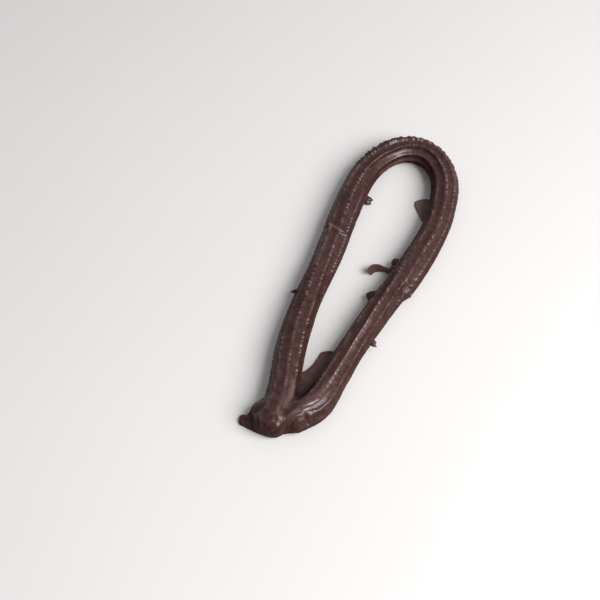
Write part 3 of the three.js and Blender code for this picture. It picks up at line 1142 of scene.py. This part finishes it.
def add_key(power):
    """A large soft light that looks at the churro."""
    data = bpy.data.lights.new("key", "AREA")
    data.shape = "DISK"
    data.size, data.energy = KEY_SIZE, power
    lamp = link(bpy.data.objects.new("key", data))
    lamp.location = KEY_PLACE
    lamp.rotation_euler = (-Vector(KEY_PLACE)).to_track_quat("-Z", "Y").to_euler()


def add_sky(strength):
    """Light all round that is brighter above and on the camera's right."""
    world = bpy.data.worlds.new("studio")
    world.use_nodes = True
    tree = world.node_tree
    sky = tree.nodes["Background"]
    sky.inputs["Color"].default_value = SKY_COLOUR
    look = tree.nodes.new("ShaderNodeTexCoord").outputs["Generated"]
    lean = add_node(tree, "ShaderNodeVectorMath", {0: look, 1: SKY_LEAN},
                    operation="DOT_PRODUCT")
    glow = (Value(tree, lean.outputs["Value"]) + 1) * strength
    connect(tree, glow, sky.inputs["Strength"])
    bpy.context.scene.world = world


# -------------------------------------------------------------------------- properties


class ChurroStrandSettings(bpy.types.PropertyGroup):
    """Sizes of the piped strand."""

    ridges: IntProperty(
        name="Ridges", description="Ridges left by the star nozzle", default=9, min=4)
    points_per_ridge: IntProperty(
        name="Points per ridge", description="Mesh points across one ridge", default=10,
        min=4)
    step: FloatProperty(
        name="Step", description="Distance between cross sections", default=0.00042,
        unit="LENGTH")
    axis_height: FloatProperty(
        name="Axis height", description="Middle line above the resting surface",
        default=0.0056, unit="LENGTH")
    ridge_height: FloatProperty(
        name="Ridge height", description="Crest above the facet beside it",
        default=0.0009, unit="LENGTH")
    crest_sharpness: FloatProperty(
        name="Crest sharpness", description="Higher values give narrower crests",
        default=2.0)
    bead_spacing: FloatProperty(
        name="Bead spacing", description="Mean distance between beads on a crest",
        default=0.00215, unit="LENGTH")
    bead_height: FloatProperty(
        name="Bead height", description="Height of the beads on a crest",
        default=0.00105, unit="LENGTH")
    tooth_height: FloatProperty(
        name="Tooth height", description="Height of the teeth round the bend",
        default=0.0003, unit="LENGTH")
    unevenness: FloatProperty(
        name="Unevenness", description="Slow swelling and thinning of the coat",
        default=0.00016, unit="LENGTH")
    seed: IntProperty(
        name="Seed", description="Another number gives another strand", default=1)


class ChurroPoolSettings(bpy.types.PropertyGroup):
    """Heights of the chocolate that set on the resting surface."""

    pool_height: FloatProperty(
        name="Pool", description="Height of the pool round the pressed ends",
        default=0.0026, unit="LENGTH")
    film_height: FloatProperty(
        name="Film", description="Height of the film between the limbs",
        default=0.0013, unit="LENGTH")
    flap_height: FloatProperty(
        name="Flap", description="Height of the flap beside the right limb",
        default=0.0012, unit="LENGTH")


class ChurroCurlSettings(bpy.types.PropertyGroup):
    """Sizes of the curl of chocolate."""

    thickness: FloatProperty(
        name="Curl thickness", description="Thickness of the curl at its root",
        default=0.0012, unit="LENGTH")
    height: FloatProperty(
        name="Curl height", description="Height of the curl at its root",
        default=0.0048, unit="LENGTH")


class ChurroCoatSettings(bpy.types.PropertyGroup):
    """Colours and gloss of the chocolate."""

    dark: FloatVectorProperty(
        name="Thick chocolate", description="Colour where the coat is thick",
        default=(0.036, 0.0135, 0.0118), subtype="COLOR")
    thin: FloatVectorProperty(
        name="Thin chocolate", description="Colour where the coat is thin",
        default=(0.15, 0.081, 0.072), subtype="COLOR")
    roughness: FloatProperty(
        name="Roughness", description="Gloss of the coat, 0 is a mirror",
        default=0.5, min=0, max=1, subtype="FACTOR")
    loop_share: FloatProperty(
        name="Loop", description="How thin the loop's coat looks all over",
        default=0.1, min=0, max=1, subtype="FACTOR")
    # The curl's share of the thin colour is partly its thin chocolate and partly painted
    # light on the face that the right limb shades.
    curl_thin_and_painted_light: FloatProperty(
        name="Curl", description="How thin the curl looks all over",
        default=0.5, min=0, max=1, subtype="FACTOR")
    nibs_share: FloatProperty(
        name="Nibs", description="How thin the nibs look all over",
        default=0.15, min=0, max=1, subtype="FACTOR")


class ChurroStageSettings(bpy.types.PropertyGroup):
    """Light and floor."""

    floor: FloatVectorProperty(
        name="Floor", description="Colour of the floor", default=(0.735, 0.72, 0.715),
        subtype="COLOR")
    floor_roughness: FloatProperty(
        name="Floor roughness", description="Gloss of the floor, 0 is a mirror",
        default=0.5, min=0, max=1, subtype="FACTOR")
    key: FloatProperty(
        name="Key light", description="Power of the large soft light", default=14.2,
        unit="POWER")
    fill: FloatProperty(
        name="Fill", description="Strength of the light all round", default=0.28)


# --------------------------------------------------------------------------- operators


def stand_for_churro(name, mesh):
    """Makes a finished mesh a piece that replaces the plain churro."""
    mesh.shade_smooth()
    piece = new_piece(name, mesh)
    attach(piece, "root")
    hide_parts(NODE)


class CHURRO_OT_stage(bpy.types.Operator):
    """Set up the camera, the floor and the soft light"""

    bl_idname = "churro.stage"
    bl_label = "Set the stage"

    def execute(self, context):
        settings = context.scene.churro_stage
        add_camera()
        add_floor(settings)
        add_key(settings.key)
        add_sky(settings.fill)
        context.scene.view_settings.view_transform = "Standard"
        return {"FINISHED"}


class CHURRO_OT_loop(bpy.types.Operator):
    """Pipe the strand, press its ends together and let the chocolate run and set"""

    bl_idname = "churro.loop"
    bl_label = "Pipe and coat the loop"

    def execute(self, context):
        scene = context.scene
        look = scene.churro_coat
        coat = chocolate_material("chocolate coat", look, look.loop_share)
        path = Path(scene.churro_strand)
        strand = strand_mesh(scene.churro_strand, path, coat)
        ends = pressed_ends_mesh(scene.churro_pools)
        ends.materials.append(coat)
        mesh = fused(strand, ends, "churro_loop")
        finish_loop(mesh, path)
        stand_for_churro("churro_loop", mesh)
        return {"FINISHED"}


class CHURRO_OT_curl(bpy.types.Operator):
    """Add the thin curl of chocolate beside the right limb"""

    bl_idname = "churro.curl"
    bl_label = "Add the curl"

    def execute(self, context):
        look = context.scene.churro_coat
        mesh = curl_mesh(context.scene.churro_curl)
        # The curl is painted paler, partly for its thin chocolate and partly as painted
        # light on its shaded face.
        coat = chocolate_material("pale thin chocolate", look, look.curl_thin_and_painted_light)
        mesh.materials.append(coat)
        stand_for_churro("chocolate_curl", mesh)
        return {"FINISHED"}


class CHURRO_OT_nibs(bpy.types.Operator):
    """Add the small nibs and drips of chocolate round the loop"""

    bl_idname = "churro.nibs"
    bl_label = "Add the nibs"

    def execute(self, context):
        look = context.scene.churro_coat
        mesh = nibs_mesh()
        coat = chocolate_material("thin chocolate", look, look.nibs_share)
        mesh.materials.append(coat)
        stand_for_churro("chocolate_nibs", mesh)
        return {"FINISHED"}


class CHURRO_PT_panel(bpy.types.Panel):
    """Lists the steps and the sizes"""

    bl_idname = "CHURRO_PT_panel"
    bl_label = "Chocolate churro"
    bl_space_type = "VIEW_3D"
    bl_region_type = "UI"
    bl_category = "Churro"

    def draw(self, context):
        for operator in OPERATORS:
            self.layout.operator(operator.bl_idname)
        for field in SETTINGS:
            group = getattr(context.scene, field)
            box = self.layout.box()
            for name in group.__annotations__:
                box.prop(group, name)


OPERATORS = (CHURRO_OT_stage, CHURRO_OT_loop, CHURRO_OT_curl, CHURRO_OT_nibs)
SETTINGS = {
    "churro_strand": ChurroStrandSettings,
    "churro_pools": ChurroPoolSettings,
    "churro_curl": ChurroCurlSettings,
    "churro_coat": ChurroCoatSettings,
    "churro_stage": ChurroStageSettings,
}


def register():
    for item in (*SETTINGS.values(), *OPERATORS, CHURRO_PT_panel):
        bpy.utils.register_class(item)
    for name, group in SETTINGS.items():
        setattr(bpy.types.Scene, name, PointerProperty(type=group))


def unregister():
    for name in SETTINGS:
        delattr(bpy.types.Scene, name)
    for item in (CHURRO_PT_panel, *OPERATORS[::-1], *list(SETTINGS.values())[::-1]):
        bpy.utils.unregister_class(item)


def main():
    register()
    bpy.ops.churro.stage()
    bpy.ops.churro.loop()
    bpy.ops.churro.curl()
    bpy.ops.churro.nibs()


if __name__ == "__main__":
    main()
